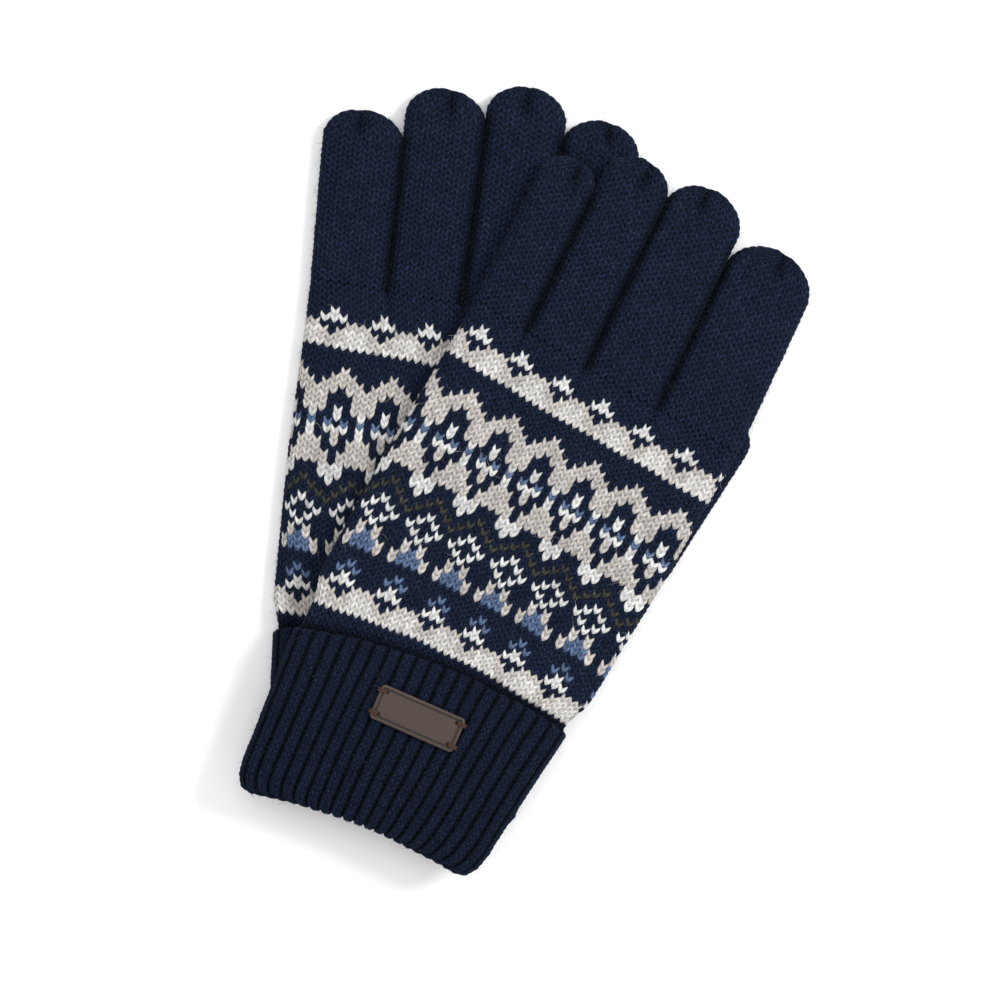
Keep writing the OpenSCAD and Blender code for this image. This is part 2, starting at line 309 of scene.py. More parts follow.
# ---------------------------------------------------------------------------
# Surfaces: each takes places u around (0 to 1), rows v and insets d, and gives points
# ---------------------------------------------------------------------------
def hand_surface(glove):
    rows = hand_rows(glove)
    bounds_u = np.concatenate([[0], np.cumsum(glove["wales"])]) / HAND_WALES

    def surface(u, v, d):
        s, side = front_share(u)
        spread = s + 0.04 * np.sin(2 * math.pi * s) / (2 * math.pi)
        guess = row_y(glove, v, (s - 0.5) * WRIST_W)
        drift = np.interp(guess, glove["drift_y"], glove["drift"]) / WRIST_W
        spread = spread + drift * np.clip(s / 0.08, 0, 1) * np.clip((1 - s) / 0.08, 0, 1)
        x, z = stadium(spread, hand_half(glove, guess) - d, HAND_T / 2 - d)
        guess = row_y(glove, v, x + hand_middle(glove, guess))
        z = crowned(x, z, hand_half(glove, guess), HAND_CROWN)
        x = x + hand_middle(glove, guess)
        top = row_y(glove, rows + 0.0 * v, x)
        near = np.exp(-np.clip(top - guess, 0, None) / 6.5)
        near = near * smooth(1.3 - (top - guess) / 40)
        finger_x, finger_z = np.zeros_like(x), np.zeros_like(x)
        for i in range(4):
            here = (s >= bounds_u[i]) & (s <= bounds_u[i + 1])
            t = np.clip((s - bounds_u[i]) / (bounds_u[i + 1] - bounds_u[i]), 0, 1)
            fx, fz = finger_section(glove, i, t, d)
            finger_x = np.where(here, fx + finger_middle(glove, i), finger_x)
            finger_z = np.where(here, fz, finger_z)
        x = x + (finger_x - x) * near
        z = z + (finger_z - z) * near
        y = row_y(glove, v, x)
        across, up = wander(x, y, np.clip(4 * s * (1 - s), 0, 1))
        settled = 1 - near
        x, y = x + across * settled, y + up * settled
        uneven = rumple(glove, x, y, side * z) * smooth((y - 70) / 30)
        return np.stack([x, y, layer_z(glove, y) + side * z + uneven], -1)

    return surface


def tip_marks(glove, i):
    """Number and turn of the pleats of a gathered tip, and the place of its dimple across."""
    r = np.random.default_rng(SEED + 10 + i + (5 if glove is LEFT else 0))
    return r.integers(4, 6), r.uniform(0, 6.3), r.uniform(-0.2, 0.2) * glove["widths"][i] / 2


def finger_surface(glove, i):
    """A finger from the hand's last row to its gathered tip."""
    length = glove["lengths"][i]
    width = glove["widths"][i]
    middle = finger_middle(glove, i)
    half_w = width / 2 + FINGER_PROUD
    knuckle = glove["knuckle_y"] + GAP
    rows = finger_rows(glove, i)
    round_l = 0.42 * width
    start_mid = row_y(glove, hand_rows(glove), middle)
    tip_y = knuckle + length
    straight_l = tip_y - round_l - start_mid
    tip_rows = round(round_l * 1.25 / ROW)
    pleats, phase, dimple_x = tip_marks(glove, i)

    def surface(u, v, d):
        s, side = front_share(u)
        tip_at = np.clip((v - (rows - tip_rows)) / tip_rows, 0, 1) * TIP_TURN
        along = np.clip(v / (rows - tip_rows), None, 1) * straight_l
        along = along + round_l * np.sin(tip_at)
        narrow = np.cos(tip_at)
        x, z = stadium(s, half_w - d, HAND_T / 2 - d)
        z = crowned(x, z, half_w - d, FINGER_CROWN)
        around = np.arctan2(z * side * 2.2, x)
        gather = smooth((tip_at - 0.5) / 1.0)
        x = x * narrow * (1 - 0.1 * gather * (0.5 + 0.5 * np.cos(pleats * around + phase)))
        z = z * narrow ** 0.45 * (1 - 0.22 * gather * (0.5 + 0.5 * np.cos(pleats * around + phase)))
        plump = 0.16 * smooth(along / 14) * smooth((straight_l + round_l - along) / 8)
        z = z * (1 + plump * (side > 0))
        from_tip = straight_l + round_l - along
        dimple = np.exp(-((x - dimple_x) / 2.6) ** 2 - ((from_tip - DIMPLE_IN) / 4.5) ** 2)
        pinch = np.exp(-((x - dimple_x) / 0.9) ** 2) * smooth((9 - from_tip) / 5)
        z = z * (1 - (0.34 * dimple + 0.16 * pinch) * (side > 0))
        along = along - 0.5 * np.exp(-((x - dimple_x) / 2.0) ** 2) * smooth((5 - from_tip) / 5)
        start = row_y(glove, hand_rows(glove), middle + x)
        y = start_mid + along + (start - start_mid) * (1 - smooth(along / straight_l))
        reach = y - knuckle
        swell = glove["swell"] * smooth(reach / 50) / half_w
        x = x * (1 + swell + glove["widen"][i] * np.clip(reach, 0, None) / length)
        x = x + middle + glove["lean"][i] * np.clip(reach, 0, None)
        fall_l = length - glove["fall_from"][i]
        drop = glove["fall"][i] * np.clip((reach - glove["fall_from"][i]) / fall_l, 0, None)
        uneven = rumple(glove, x, y, side * z)
        return np.stack([x, y, layer_z(glove, y) - drop + side * z + uneven], -1)

    return surface


def finger_rows(glove, i):
    """Rows of a finger; the tip's rows lie along its curve."""
    return round((glove["lengths"][i] + 0.1 * glove["widths"][i]) / ROW)


def closed_thumb_surface(pivot, lean, length, width, z_mid):
    """The left thumb, closed at both ends and lying flat under the hand."""
    half_w = width / 2
    rows = round((length + half_w + 0.3 * width) / ROW)
    end_rows = round(half_w * 1.4 / ROW)
    tip_l, root_l = 0.45 * width, half_w

    def surface(u, v, d):
        s, side = front_share(u)
        root_at = np.clip(1 - v / end_rows, 0, 1) * TIP_TURN
        tip_at = np.clip((v - (rows - end_rows)) / end_rows, 0, 1) * TIP_TURN
        level = np.clip((v - end_rows) / (rows - 2 * end_rows), 0, 1)
        along = level * (length - tip_l) - root_l * np.sin(root_at) + tip_l * np.sin(tip_at)
        narrow = np.cos(root_at) * np.cos(tip_at)
        x, z = stadium(s, half_w - d, HAND_T / 2 - d)
        z = crowned(x, z, half_w - d, 0.2) * narrow ** 0.45
        x = x * narrow
        c, k = math.cos(lean), math.sin(lean)
        px = pivot[0] + x * c + along * k
        py = pivot[1] - x * k + along * c
        return np.stack([px, py, z_mid + side * z], -1)

    return surface, rows


def open_thumb_surface(x_inner, root_y, width, length, flare, z_mid):
    """The right thumb, whose inner side lies along the hand's edge."""
    rows = round(length * 1.08 / ROW)
    tip_l = 0.45 * width
    tip_rows = round(tip_l * 1.3 / ROW)
    least = 0.42

    def surface(u, v, d):
        s, side = front_share(u)
        tip_at = np.clip((v - (rows - tip_rows)) / tip_rows, 0, 1) * TIP_TURN
        along = np.clip(v / (rows - tip_rows), 0, 1) * (length - tip_l) + tip_l * np.sin(tip_at)
        root_at = np.clip(1 - along / 3.0, 0, 1) * math.radians(80)
        full = width * (least + (1 - least) * smooth(along / flare))
        half_w = full / 2
        narrow = np.cos(tip_at) * np.cos(root_at) ** 0.5
        x, z = stadium(s, half_w - d, HAND_T / 2 - d)
        z = crowned(x, z, half_w - d, 0.25) * narrow ** 0.5
        x = x * narrow + x_inner + half_w
        return np.stack([x, root_y + along, z_mid + side * z], -1)

    return surface, rows


def profile_path(points):
    """A cuff's profile as [height above the fold, inset] points, with the length run along it."""
    p = np.array(points, float)
    run = np.concatenate([[0], np.cumsum(np.hypot(*np.diff(p, axis=0).T))])
    return {"run": run, "up": p[:, 0], "inset": p[:, 1], "relief": p[:, 2]}


def rim_rise(glove, x, half_w):
    """How much higher than its corners the free edge of a cuff lies."""
    corner = np.exp(-np.clip(half_w - np.abs(x - glove["cuff_x"]), 0, None) / 3)
    return glove["rim_rise"] * (1 - 0.7 * corner)


def cuff_surface(glove, path):
    """A cuff's layers; v is the length run along the profile."""
    fold = glove["fold_y"]
    pressed = np.array(LABEL_AT)

    def surface(u, v, d):
        s, side = front_share(u)
        up = np.interp(v, path["run"], path["up"])
        inset = np.interp(v, path["run"], path["inset"])
        half_w = cuff_half(glove, fold + up)
        x, z = stadium(s, half_w - inset, CUFF_T / 2 - inset)
        z = crowned(x, z, half_w, CUFF_CROWN)
        x = x + glove["cuff_x"]
        across, along = wander(x, fold + up, np.clip(4 * s * (1 - s), 0, 1))
        x = x + 0.8 * across
        rise = smooth(up / 50) * rim_rise(glove, x, half_w)
        y = fold + up + rise - bow(glove, x) + 0.6 * along
        flat = np.exp(-((x - pressed[0]) / 22) ** 2 - ((y - pressed[1]) / 12) ** 2)
        uneven = rumple(glove, x, y, side * z * (2 * HAND_T / CUFF_T - 1)) * (1 - flat)
        return np.stack([x, y, glove["cuff_z"] + side * z + uneven], -1)

    return surface


# ---------------------------------------------------------------------------
# Columns and rows of a knitted mesh
# ---------------------------------------------------------------------------
def plain_columns(wales):
    """Columns of plain knitting all the way round."""
    n = 2 * COLS_PER_LEG
    i = np.arange(wales * n)
    return {
        "u": i / (wales * n),
        "across": (i % n) / n,
        "wale": i // n,
        "height": np.zeros(len(i)),
        "knit": np.ones(len(i)),
    }


def rib_columns(ribs, deep):
    """Ribs of two wales with a deep furrow after each."""
    n = 2 * COLS_PER_LEG
    furrow = 2
    furrow_w = 0.24
    i = np.arange(ribs * (2 * n + furrow))
    rib, k = i // (2 * n + furrow), i % (2 * n + furrow)
    in_furrow = k > 2 * n
    on_rib = furrow_w / 2 + (1 - furrow_w) * k / (2 * n)
    past_rib = 1 - furrow_w / 2 + furrow_w * (k - 2 * n) / furrow
    t = np.where(in_furrow, past_rib, on_rib)
    side = np.abs(2 * on_rib - 1) ** 3
    middle = np.where(k == n, 1.0, 0.0)
    return {
        "u": (rib + t) / ribs,
        "across": np.where(k < 2 * n, (k % n) / n, 0.0),
        "wale": 2 * rib + np.minimum(k // n, 1),
        "height": np.where(in_furrow, -deep, -0.78 * deep * side - 0.28 * deep * middle),
        "knit": np.where(in_furrow, 0.0, 1.0),
    }


def stitch_height(along, q):
    """Relief of a stitch: two round legs with pits between them at both ends."""
    ends = np.abs(2 * along - 1) ** 3
    band = np.abs(2 * q - 1) ** 2.2
    return 0.5 - band * (0.5 + 0.5 * ends) - 0.32 * ends


def name_seed(name):
    """A number for a name, the same in every run."""
    return sum((k + 1) * ord(c) for k, c in enumerate(name))


def corner_maps(first, second, i, j):
    """Two coordinates at the four corners of each face, from one list per column and one per row."""
    corners = [(i, j), (i + 1, j), (i + 1, j + 1), (i, j + 1)]
    return np.stack([np.stack([first[a], second[b]], -1) for a, b in corners], 2).reshape(-1, 2)


def hollow_shade(raised, furrow):
    """Painted shade: how much darker the yarn is made down between the stitches, where loose fibres keep the
    light out.
    """
    return (PIT_SHADE + (1.6 - PIT_SHADE) * np.clip(raised, 0, 1) ** 3) * np.exp(FURROW_SHADE * furrow)


def corner_mean(values):
    """Mean of a closed grid's values at the four corners of each face."""
    beside = np.roll(values, -1, 0)
    return (values + beside + np.roll(values, -1, 1) + np.roll(beside, -1, 1)) / 4


def knit_mesh(name, glove, surface, columns, rows, per_row, colour_of, point_down=1, shade_of=None):
    """A closed knitted skin. per_row is v per row of stitches; V points face -v where point_down is 1."""
    cols, n_rows = len(columns["u"]), len(rows["v"])
    along = np.abs(2 * columns["across"] - 1)
    lift = point_down * V_RISE * per_row * (np.sqrt(along ** 2 + 0.03) - 0.5)
    relief = rows["relief"][None, :]
    v = rows["v"][None, :] + lift[:, None] * np.sign(relief)
    u = np.repeat(columns["u"][:, None], n_rows, 1)
    d = np.repeat(rows["d"][None, :], cols, 0)
    base = surface(u, v, d)
    across_t = np.roll(base, -1, 0) - np.roll(base, 1, 0)
    along_t = np.roll(base, -1, 1) - np.roll(base, 1, 1)
    normal = np.cross(across_t, along_t)
    normal /= np.maximum(np.linalg.norm(normal, axis=-1, keepdims=True), 1e-9)
    q = (rows["v"] / per_row) % 1.0
    stitch_relief = stitch_height(along[:, None], q[None, :])
    stitch = np.floor(rows["v"] / per_row + 1e-6).astype(int)
    stitch = stitch - min(stitch.min(), 0)
    leg = 2 * columns["wale"] + (columns["across"] >= 0.5)
    r = np.random.default_rng(name_seed(name))
    shade = r.normal(1.0, 0.1, (leg.max() + 1, stitch.max() + 1))[leg[:, None], stitch[None, :]]
    size = r.normal(1.0, 0.16, (leg.max() + 1, stitch.max() + 1))[leg[:, None], stitch[None, :]]
    height = RELIEF * stitch_relief * relief * columns["knit"][:, None] * size
    height = height + columns["height"][:, None] * relief
    room = np.linalg.norm(across_t, axis=-1) * COLS_PER_LEG / WALE
    height = height * np.clip(1.4 * room, 0, 1)
    points = in_row(glove, base + normal * height[..., None]).reshape(-1, 3)

    i, j = np.meshgrid(np.arange(cols), np.arange(n_rows), indexing="ij")
    i2, j2 = (i + 1) % cols, (j + 1) % n_rows
    quads = np.stack([i * n_rows + j, i2 * n_rows + j, i2 * n_rows + j2, i * n_rows + j2], -1)

    colour = colour_of(columns["wale"][:, None] + 0 * j, stitch[None, :] + 0 * i)
    raised = np.where(columns["knit"][:, None] > 0, (stitch_relief + 0.82) / 1.32, 0.35)
    # Painted shade: the yarn is darkened in the pits between stitches and down the furrows between ribs, less
    # so for pale yarn, and the hidden inside rows get 0.7; shade_of adds more painted shade. shade then holds
    # each leg's random tone times this painted shade.
    painted_pit_shade = corner_mean(hollow_shade(raised, columns["height"][:, None]))
    depth = 1 - 0.55 * np.clip(2 * colour.mean(-1), 0, 1)
    shade = shade * np.where(relief > 0, painted_pit_shade ** depth, 0.7)
    if shade_of:
        shade = shade * shade_of(base)
    colour = colour * shade[..., None]

    run = np.concatenate([[0], np.cumsum(np.linalg.norm(np.diff(base[0], axis=0), axis=-1))])
    run = np.append(run, run[-1] + 1.0) / (run[-1] + 1.0)
    around = np.append(columns["u"], 1.0)
    along = np.append(along, along[0])
    return {
        "name": name,
        "points": points,
        "quads": quads.reshape(-1, 4),
        "colour": np.clip(colour.reshape(-1, 3), 0, 1),
        "bake": corner_maps(around, run, i, j),
        "thread": corner_maps(along, rows_run(rows["v"] / per_row), i, j),
        "outside": np.repeat((rows["relief"] > 0)[None, :], cols, 0).reshape(-1),
    }


def rows_run(v):
    """Row coordinate for the thread map, one longer than the rows."""
    return np.append(v, v[-1])


def add_fuzz(data, count, reach):
    """Short loose fibres that stand off the yarn, each a thin three-sided tube."""
    r = np.random.default_rng(name_seed(data["name"]) + SEED)
    p, quads = data["points"], data["quads"]
    a, b, c = (p[quads[:, k]] for k in (0, 1, 3))
    normal = np.cross(b - a, c - a)
    area = np.linalg.norm(normal, axis=1)
    weight = area * data["outside"]
    pick = r.choice(len(quads), count, p=weight / weight.sum())
    normal = normal[pick] / np.maximum(area[pick], 1e-15)[:, None]
    root = a[pick] + (b - a)[pick] * r.random((count, 1)) + (c - a)[pick] * r.random((count, 1))
    wander = r.normal(0, 1, (count, 3))
    wander -= (wander * normal).sum(1, keepdims=True) * normal
    wander /= np.maximum(np.linalg.norm(wander, axis=1, keepdims=True), 1e-9)
    side = np.cross(normal, wander)
    length = r.gamma(3.0, reach / 3, (count, 1)) * MM
    rise = r.uniform(0.2, 0.85, (count, 1))
    curl = r.normal(0, 0.6, (count, 1))
    steps = np.array([-0.1, 0.35, 0.7, 1.0])
    radius = np.array([1.0, 1.0, 0.8, 0.3]) * FIBRE_R * MM
    line = np.stack([
        root + length * (normal * rise * math.sin(1.9 * t) + wander * t + side * curl * t * t)
        for t in steps
    ], 1)
    turns = np.arange(3) * 2 * math.pi / 3
    offset = normal[:, None] * np.cos(turns)[:, None] + side[:, None] * np.sin(turns)[:, None]
    ring = line[:, :, None] + radius[:, None, None] * offset[:, None]
    ring[..., 2] = np.maximum(ring[..., 2], 0.1 * MM)
    first = len(p) + np.arange(count)[:, None] * len(steps) * 3
    walls = [[3 * t + g, 3 * t + (g + 1) % 3, 3 * t + 3 + (g + 1) % 3, 3 * t + 3 + g]
             for t in range(len(steps) - 1) for g in range(3)]
    faces = (first[:, None] + np.array(walls)[None]).reshape(-1, 4)
    # Each fibre takes its face's colour, painted shade included, with a random tone and a painted highlight
    # that makes it lighter
    tint = data["colour"][pick] * r.uniform(0.9, 1.2, (count, 1)) + r.uniform(0.0, 0.05, (count, 1))
    spot = data["bake"].reshape(-1, 4, 2)[pick, 0]
    data["points"] = np.concatenate([p, ring.reshape(-1, 3)])
    data["quads"] = np.concatenate([quads, faces])
    data["colour"] = np.concatenate([data["colour"], np.clip(np.repeat(tint, len(walls), 0), 0, 1)])
    data["bake"] = np.concatenate([data["bake"], np.repeat(spot, 4 * len(walls), 0)])
    data["thread"] = np.concatenate([data["thread"], np.full((4 * len(faces), 2), 0.5)])
    return data


def add_mesh(name, points, faces, material):
    """A smooth mesh object made of points and four-sided faces."""
    mesh = bpy.data.meshes.new(name)
    faces = np.asarray(faces, np.int32)
    mesh.vertices.add(len(points))
    mesh.vertices.foreach_set("co", np.asarray(points, np.float32).ravel())
    mesh.loops.add(faces.size)
    mesh.loops.foreach_set("vertex_index", faces.ravel())
    mesh.polygons.add(len(faces))
    mesh.polygons.foreach_set("loop_start", np.arange(0, faces.size, 4, dtype=np.int32))
    mesh.update(calc_edges=True)
    mesh.polygons.foreach_set("use_smooth", np.ones(len(faces), bool))
    mesh.materials.append(material)
    piece = bpy.data.objects.new(name, mesh)
    bpy.context.scene.collection.objects.link(piece)
    return piece


def paint_faces(piece, name, colour):
    layer = piece.data.attributes.new(name, "FLOAT_COLOR", "FACE")
    rgba = np.ones((len(colour), 4), np.float32)
    rgba[:, :3] = colour
    layer.data.foreach_set("color", rgba.ravel())


def add_map(piece, name, values):
    piece.data.uv_layers.new(name=name).data.foreach_set("uv", values.astype(np.float32).ravel())


def knit_piece(data, material, replaced):
    """Makes the Blender object of a knitted skin, with its yarn colours, which carry painted shade, and its
    two maps.
    """
    piece = add_mesh(data["name"], data["points"], data["quads"], material)
    add_map(piece, "OFBake", 0.01 + 0.98 * data["bake"])
    add_map(piece, "thread", data["thread"])
    # The face colours are the yarn colours with painted shade in them, and a painted highlight on the loose
    # fibres
    paint_faces(piece, "yarn_colour_and_painted_light", data["colour"])
    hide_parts(replaced)
    return piece


# ---------------------------------------------------------------------------
# Colours of the stitches
# ---------------------------------------------------------------------------
def navy(wale, row):
    return np.tile(np.array(YARNS["."]), wale.shape + (1,))


def chart_colour(glove):
    """The yarn of each stitch of a hand; row 0 is the lowest."""
    letters = np.array([[ord(c) for c in line] for line in CHART[::-1]])
    low = glove["plain_below"]

    def colour(wale, row):
        out = navy(wale, row)
        inside = (row >= low) & (row < low + len(letters))
        letter = letters[np.clip(row - low, 0, len(letters) - 1), (wale - CROWN_WALE) % 6]
        for key, value in YARNS.items():
            out[inside & (letter == ord(key))] = value
        return out

    return colour


# ---------------------------------------------------------------------------
# Materials
# ---------------------------------------------------------------------------
def node(tree, kind, **values):
    """A shader node with its sockets and settings filled in."""
    made = tree.nodes.new(kind)
    for key, value in values.items():
        if key in made.inputs:
            made.inputs[key].default_value = value
        else:
            setattr(made, key, value)
    return made


def maths(tree, operation, *terms):
    """A maths node; a term is a number or another node's output."""
    made = node(tree, "ShaderNodeMath", operation=operation)
    for k, term in enumerate(terms):
        if isinstance(term, (int, float)):
            made.inputs[k].default_value = term
        else:
            tree.links.new(term, made.inputs[k])
    return made.outputs[0]


def new_material(name):
    material = bpy.data.materials.new(name)
    material.use_nodes = True
    return material, material.node_tree, material.node_tree.nodes["Principled BSDF"]


def add_bump(tree, shader, height, strength, distance):
    bump = node(tree, "ShaderNodeBump", Strength=strength, Distance=distance)
    tree.links.new(height, bump.inputs["Height"])
    tree.links.new(bump.outputs["Normal"], shader.inputs["Normal"])


def noise(tree, scale, detail, roughness=0.5):
    place = node(tree, "ShaderNodeTexCoord")
    made = node(tree, "ShaderNodeTexNoise", Scale=scale, Detail=detail, Roughness=roughness)
    tree.links.new(place.outputs["Object"], made.inputs["Vector"])
    return made.outputs["Fac"]


def wool(name, sheen):
    """Spun wool: plies along each leg of a stitch, loose fibres and a soft sheen."""
    material, tree, shader = new_material(name)
    link = tree.links.new
    fibre = noise(tree, 1500.0, 3.0, 0.7)
    cloud = noise(tree, 75.0, 2.0)
    thread = node(tree, "ShaderNodeUVMap", uv_map="thread")
    split = node(tree, "ShaderNodeSeparateXYZ")
    link(thread.outputs["UV"], split.inputs[0])
    twist = maths(tree, "MULTIPLY_ADD", split.outputs["X"], 3.0, split.outputs["Y"])
    twist = maths(tree, "SINE", maths(tree, "MULTIPLY", twist, 2 * math.pi))
    ply = maths(tree, "MULTIPLY_ADD", twist, 0.07, 1.0)
    # The face attribute holds the yarn colours with painted shade, and a painted highlight on the loose
    # fibres
    tint = node(tree, "ShaderNodeAttribute", attribute_name="yarn_colour_and_painted_light")
    grey = node(tree, "ShaderNodeRGBToBW")
    link(tint.outputs["Color"], grey.inputs[0])
    contrast = maths(tree, "MULTIPLY_ADD", maths(tree, "MINIMUM", grey.outputs[0], 0.3), -17.0, 7.5)
    off = maths(tree, "MULTIPLY", maths(tree, "SUBTRACT", fibre, 0.5), contrast)
    speckle = maths(tree, "POWER", 2.0, off)
    patch = maths(tree, "MULTIPLY_ADD", cloud, 0.3, 0.85)
    light = maths(tree, "MULTIPLY", maths(tree, "MULTIPLY", ply, speckle), patch)
    shade = node(tree, "ShaderNodeVectorMath", operation="SCALE")
    link(tint.outputs["Color"], shade.inputs[0])
    link(light, shade.inputs["Scale"])
    link(shade.outputs[0], shader.inputs["Base Color"])
    link(maths(tree, "MULTIPLY_ADD", fibre, 0.25, 0.72), shader.inputs["Roughness"])
    add_bump(tree, shader, maths(tree, "MULTIPLY_ADD", twist, 0.35, fibre), 0.5, 0.22 * MM)
    shader.inputs["Specular IOR Level"].default_value = 0.06
    shader.inputs["Sheen Weight"].default_value = sheen
    shader.inputs["Sheen Roughness"].default_value = 0.45
    shader.inputs["Sheen Tint"].default_value = (0.55, 0.68, 1.0, 1.0)
    return material


def leather(name):
    """Grey-brown leather with a fine grain; its colour attribute is darker along the pressed border, with
    painted shade in the stitching holes and a painted highlight along the edge.
    """
    material, tree, shader = new_material(name)
    link = tree.links.new
    grain = noise(tree, 1500.0, 4.0, 0.6)
    blotch = noise(tree, 130.0, 3.0)
    tint = node(tree, "ShaderNodeAttribute", attribute_name="leather_colour_and_painted_light")
    light = maths(tree, "MULTIPLY", maths(tree, "MULTIPLY_ADD", grain, 1.1, 0.45),
                  maths(tree, "MULTIPLY_ADD", blotch, 0.4, 0.8))
    shade = node(tree, "ShaderNodeVectorMath", operation="SCALE")
    link(tint.outputs["Color"], shade.inputs[0])
    link(light, shade.inputs["Scale"])
    link(shade.outputs[0], shader.inputs["Base Color"])
    link(maths(tree, "MULTIPLY_ADD", grain, 0.3, 0.38), shader.inputs["Roughness"])
    add_bump(tree, shader, grain, 0.45, 0.12 * MM)
    shader.inputs["Specular IOR Level"].default_value = 0.3
    return material


def thread_material(name, colour):
    material, tree, shader = new_material(name)
    fibre = noise(tree, 4000.0, 2.0)
    ramp = node(tree, "ShaderNodeMix", data_type="RGBA")
    ramp.inputs[6].default_value = (*(0.55 * c for c in colour), 1)
    ramp.inputs[7].default_value = (*(1.5 * c for c in colour), 1)
    tree.links.new(fibre, ramp.inputs[0])
    tree.links.new(ramp.outputs[2], shader.inputs["Base Color"])
    shader.inputs["Roughness"].default_value = 0.6
    add_bump(tree, shader, fibre, 0.4, 0.1 * MM)
    return material


def backdrop_material(name):
    material, tree, shader = new_material(name)
    fine = noise(tree, 40.0, 2.0)
    tone = node(tree, "ShaderNodeMix", data_type="RGBA")
    tone.inputs[6].default_value = (0.90, 0.90, 0.91, 1)
    tone.inputs[7].default_value = (0.93, 0.93, 0.94, 1)
    tree.links.new(fine, tone.inputs[0])
    tree.links.new(tone.outputs[2], shader.inputs["Base Color"])
    shader.inputs["Roughness"].default_value = 0.9
    shader.inputs["Specular IOR Level"].default_value = 0.1
    return material


# ---------------------------------------------------------------------------
# The knitted pieces
# ---------------------------------------------------------------------------
def skin_rows(last, wall_step=4):
    """A hand's or finger's skin: its stitches, then back along the inside."""
    out = np.arange(last * BANDS_PER_ROW + 1) / BANDS_PER_ROW
    out = np.concatenate([[0, 0.04], out[1:-1], [last - 0.04, last]])
    back = np.linspace(last, 0, max(3, round(last / wall_step)))
    back = np.concatenate([[last, last - 0.04], back[1:-1], [0.04, 0]])
    return {
        "v": np.concatenate([out, back]),
        "d": np.concatenate([0 * out + SINK, 0 * back + KNIT_T]),
        "relief": np.concatenate([0 * out + 1, 0 * back]),
    }


def path_rows(path):
    """Rows of a cuff along its profile: close together where stitches show, and wide apart inside."""
    step = ROW / BANDS_PER_ROW
    at = [0.0]
    while at[-1] < path["run"][-1] - 0.3 * step:
        hidden = np.interp(at[-1], path["run"], path["relief"]) <= 0
        at.append(at[-1] + (4 * step if hidden else step))
    at = np.minimum(np.array(at), path["run"][-1])
    relief = np.interp(at, path["run"], path["relief"])
    return {"v": at, "d": 0 * at, "relief": relief}


def arc(up, inset, rise, depth, start, end, relief, count):
    """Points of a profile round a bend, from angle start to end in degrees."""
    angles = np.radians(np.linspace(start, end, count))
    return [(up + rise * math.sin(a), inset - depth * math.cos(a), relief) for a in angles]


def turned_profile(glove):
    """From the mouth round the fold, up the outside, over the free edge and down the inside."""
    high = CUFF_H - glove["fold_y"]
    mouth = 2 * KNIT_T + GAP
    fold = arc(0.2, (mouth + SINK) / 2, -2.0, -(mouth - SINK) / 2, 0, 180, 1.0, 13)
    rim = arc(high - 0.8, SINK + 0.8, 0.8, 0.8, 0, 180, 0.5, 7)
    inside = [(1.0, KNIT_T + 0.1, 0.0), (0.2, KNIT_T + 0.5, 0.0), (0.15, mouth - 0.6, 0.0)]
    return fold + rim + inside


def inner_profile(glove):
    """From the fold up the outside of the inner layer and back down its inside."""
    high = HAND_BOTTOM - glove["fold_y"] + 1.5
    out, inside = KNIT_T + GAP + SINK, 2 * KNIT_T + GAP
    outer = [(GAP + 0.2, out, 0.7), (high - 4, out, 0.7), (high, out + 0.5, 0.7)]
    inner = [(high, inside, 0.5), (GAP + 0.2, inside, 0.5)]
    return outer + inner


def edge_shade(glove):
    """Shade of a hand beside the free edge of its turned-up cuff."""
    def shade(p):
        beyond = p[..., 1] - (CUFF_H + glove["rim_rise"] - bow(glove, p[..., 0]))
        return 1 - 0.75 * np.exp(-(np.clip(beyond, 0, None) / 2.6) ** 2)

    return shade


def hand_piece(side, glove, material):
    rows = hand_rows(glove)
    data = knit_mesh(f"{side}_hand_knit", glove, hand_surface(glove), plain_columns(2 * HAND_WALES),
                     skin_rows(rows), 1.0, chart_colour(glove), shade_of=edge_shade(glove))
    piece = knit_piece(add_fuzz(data, *HAND_FUZZ), material, f"{side}_hand")
    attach(piece, f"{side}_glove")
    return piece


def crease_shade(glove, i):
    """Shade of a finger where it lies against its neighbours and where its tip is gathered."""
    middle, knuckle = finger_middle(glove, i), glove["knuckle_y"] + GAP
    dimple_x = tip_marks(glove, i)[2]

    def shade(p):
        reach = p[..., 1] - knuckle
        along = np.clip(reach, 0, None)
        x = p[..., 0] - middle - glove["lean"][i] * along
        half_w = glove["widths"][i] / 2 * (1 + glove["widen"][i] * along / glove["lengths"][i])
        total = np.ones_like(x)
        for direction, neighbour in ((-1, i - 1), (1, i + 1)):
            if not 0 <= neighbour < len(FINGERS):
                continue
            beside = smooth((direction * x - half_w + 3.6) / 3.4)
            until = min(glove["lengths"][i], glove["lengths"][neighbour]) - 3
            total = total * (1 - 0.7 * beside * smooth((until - reach) / 7) * smooth((reach + 8) / 14))
        from_tip = glove["lengths"][i] - reach
        dent = np.exp(-((x - dimple_x) / 3.2) ** 2 - ((from_tip - DIMPLE_IN) / 5.0) ** 2)
        pinch = np.exp(-((x - dimple_x) / 1.0) ** 2) * smooth((9 - from_tip) / 5)
        return total * (1 - np.clip(0.42 * dent + 0.35 * pinch, 0, 0.7) * (p[..., 2] > glove["hand_z"] - 9))

    return shade


def finger_piece(side, glove, i, material):
    name = FINGERS[i]
    data = knit_mesh(f"{side}_{name}_finger_knit", glove, finger_surface(glove, i),
                     plain_columns(2 * glove["wales"][i]), skin_rows(finger_rows(glove, i)), 1.0, navy,
                     shade_of=crease_shade(glove, i))
    piece = knit_piece(add_fuzz(data, *FINGER_FUZZ), material, f"{side}_{name}_finger")
    knuckle = glove["knuckle_y"] + GAP
    middle = finger_middle(glove, i)
    ends = in_row(glove, np.array([[middle, knuckle - 3, glove["hand_z"]],
                                   [middle, knuckle + 13, glove["hand_z"]]], float))
    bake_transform(piece)
    return piece


